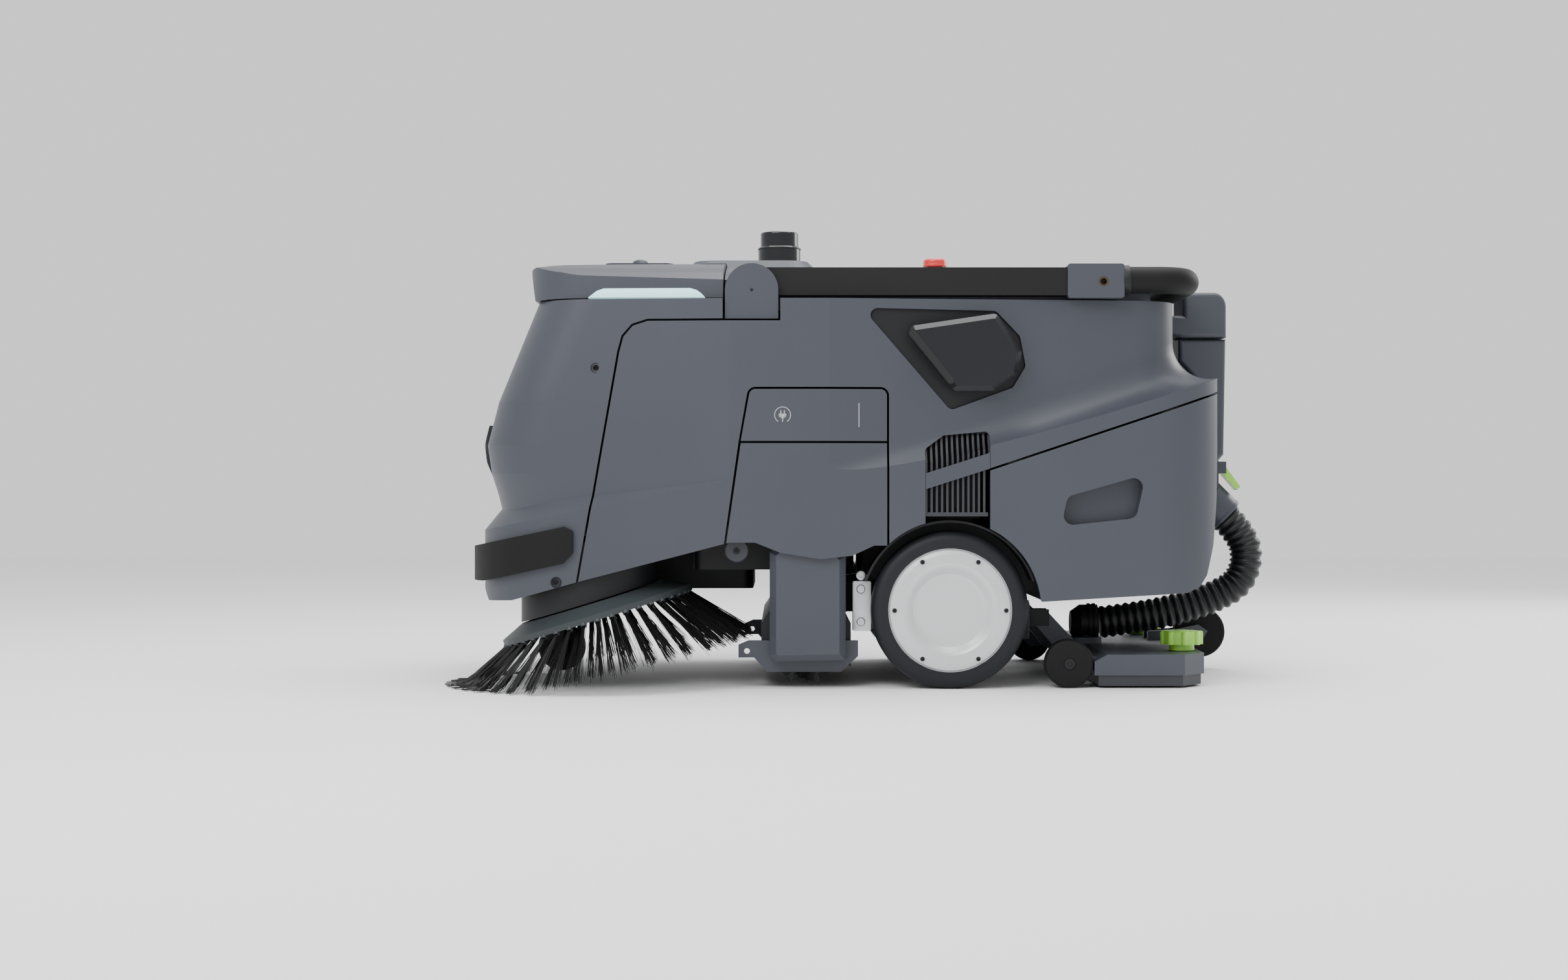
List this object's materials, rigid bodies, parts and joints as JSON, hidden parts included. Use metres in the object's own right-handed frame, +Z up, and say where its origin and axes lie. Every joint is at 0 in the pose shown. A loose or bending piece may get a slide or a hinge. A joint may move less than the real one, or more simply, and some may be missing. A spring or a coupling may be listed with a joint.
{
  "type": "robotic floor cleaner",
  "caption": "Self-driving floor sweeper with a tilted side brush, roller brush deck, towed suction head on a ribbed hose, dust bin and push handle.",
  "frame": {"origin": "on the floor, under the middle of the whole machine without its hose", "axes": "the front faces -X, the left side with the side brush faces -Y, +Z is up"},
  "size_m": [1.1952, 0.743, 0.667],
  "materials": {
    "body": "fine satin texture",
    "dark": "fine matt texture",
    "gloss_black": "polished",
    "rubber": "soft matt",
    "tyre": "smooth tread",
    "hub": "satin white-silver",
    "alloy": "bead blasted",
    "steel": "powder coat",
    "bar": "powder coat, low gloss",
    "light": "frosted light guide",
    "lime": "satin",
    "red": "glossy",
    "ring": "matt",
    "bristle": "nylon filaments",
    "roller": "nylon filaments",
    "hose": "ribbed, semi-matt"
  },
  "bodies": {
    "chassis": {"axle_beam": "steel", "battery_pack": "dark", "bumper": "rubber", "castor_mount": "steel", "charge_socket": "dark", "chassis_frame": "steel", "control_box": "dark", "dust_bin": "body", "estop_collar": "dark", "front_cap": "body", "front_shell": "body", "front_visor": "gloss_black", "hinge_caps": "body", "hose_connector": "dark", "lidar": "gloss_black", "light_strips": "light", "pod_bezels": "dark", "pod_housings": "gloss_black", "rear_panel": "body", "sensor_plinths": "body", "service_panels": "body", "side_cover_left": "body", "side_cover_right": "body", "suction_duct": "body", "suction_hose": "hose", "top_deck": "body", "vacuum_unit": "dark", "vent_grilles": "dark", "wheel_wells": "dark"},
    "handle": {"handle_bars": "bar", "handle_sleeves": "body", "handle_grip": "rubber"},
    "door": {"charge_door": "body"},
    "estop": {"estop_button": "red"},
    "wheel_left": {"tyre_left": "tyre", "hub_motor_left": "alloy", "hub_cover_left": "hub"},
    "wheel_right": {"tyre_right": "tyre", "hub_motor_right": "alloy", "hub_cover_right": "hub"},
    "castor_swivel": {"castor_fork": "steel"},
    "castor_roller": {"castor_wheel": "rubber"},
    "brush_unit": {"brush_shroud": "dark", "brush_motor": "dark"},
    "side_brush": {"brush_ring": "ring", "side_bristles": "bristle"},
    "deck": {"deck_housing": "dark", "deck_side_plates": "body", "deck_end_covers": "body"},
    "roller": {"roller_core": "dark", "roller_bristles": "roller"},
    "head": {"head_shell": "body", "head_skirt": "rubber", "hose_elbow": "dark"},
    "head_wheel_left": {"head_roller_left": "rubber"},
    "head_wheel_right": {"head_roller_right": "rubber"},
    "guide_wheel": {"tail_wheel": "rubber"},
    "knob_l": {"knob_left": "lime"},
    "knob_r": {"knob_right": "lime"},
    "latch": {"latch_lever": "lime"}
  },
  "joints": [
    {"name": "handle_fold", "type": "hinge", "parent": "chassis", "child": "handle", "pos_m": [-0.1552, 0.0535, 0.555], "axis": [0, -1, 0], "range_deg": [0, 50]},
    {"name": "charge_door_swing", "type": "hinge", "parent": "chassis", "child": "door", "pos_m": [-0.1702, -0.258, 0.38], "axis": [0, 0, -1], "range_deg": [0, 95]},
    {"name": "estop_press", "type": "slide", "parent": "chassis", "child": "estop", "axis": [0, 0, -1], "range_m": [0, 0.004], "stiffness_N_per_m": 800, "springref_m": -0.002},
    {"name": "wheel_left_spin", "type": "hinge", "parent": "chassis", "child": "wheel_left", "pos_m": [0.1208, -0.2175, 0.1097], "axis": [0, 1, 0], "continuous": true},
    {"name": "wheel_right_spin", "type": "hinge", "parent": "chassis", "child": "wheel_right", "pos_m": [0.1208, 0.3245, 0.1097], "axis": [0, 1, 0], "continuous": true},
    {"name": "castor_turn", "type": "hinge", "parent": "chassis", "child": "castor_swivel", "pos_m": [-0.4722, 0.1115, 0.1], "axis": [0, 0, 1], "continuous": true},
    {"name": "castor_spin", "type": "hinge", "parent": "castor_swivel", "child": "castor_roller", "pos_m": [-0.4522, 0.1115, 0.036], "axis": [0, 1, 0], "continuous": true},
    {"name": "brush_lift", "type": "slide", "parent": "chassis", "child": "brush_unit", "axis": [0, 0, 1], "range_m": [0, 0.01]},
    {"name": "side_brush_spin", "type": "hinge", "parent": "brush_unit", "child": "side_brush", "pos_m": [-0.3802, -0.1495, 0.109], "axis": [-0.2907, 0, 0.9568], "continuous": true},
    {"name": "deck_float", "type": "hinge", "parent": "chassis", "child": "deck", "pos_m": [0.0168, 0.0535, 0.136], "axis": [0, 1, 0], "range_deg": [0, 5]},
    {"name": "roller_spin", "type": "hinge", "parent": "deck", "child": "roller", "pos_m": [-0.0782, 0.0535, 0.058], "axis": [0, 1, 0], "continuous": true},
    {"name": "head_lift", "type": "hinge", "parent": "chassis", "child": "head", "pos_m": [0.2618, 0.0535, 0.092], "axis": [0, -1, 0], "range_deg": [0, 5], "deforming": ["suction_hose"]},
    {"name": "head_wheel_left_spin", "type": "hinge", "parent": "head", "child": "head_wheel_left", "pos_m": [0.2888, -0.2165, 0.034], "axis": [0, 1, 0], "continuous": true},
    {"name": "head_wheel_right_spin", "type": "hinge", "parent": "head", "child": "head_wheel_right", "pos_m": [0.2888, 0.3235, 0.034], "axis": [0, 1, 0], "continuous": true},
    {"name": "guide_wheel_spin", "type": "hinge", "parent": "head", "child": "guide_wheel", "pos_m": [0.5318, 0.1275, 0.058], "axis": [0, 1, 0], "continuous": true},
    {"name": "knob_left_turn", "type": "hinge", "parent": "head", "child": "knob_l", "pos_m": [0.4608, -0.1365, 0.052], "axis": [0, 0, 1], "range_deg": [-180, 180]},
    {"name": "knob_right_turn", "type": "hinge", "parent": "head", "child": "knob_r", "pos_m": [0.4608, 0.2435, 0.052], "axis": [0, 0, 1], "range_deg": [-180, 180]},
    {"name": "latch_open", "type": "hinge", "parent": "chassis", "child": "latch", "pos_m": [0.5508, 0.0535, 0.311], "axis": [0, -1, 0], "range_deg": [0, 60]}
  ]
}
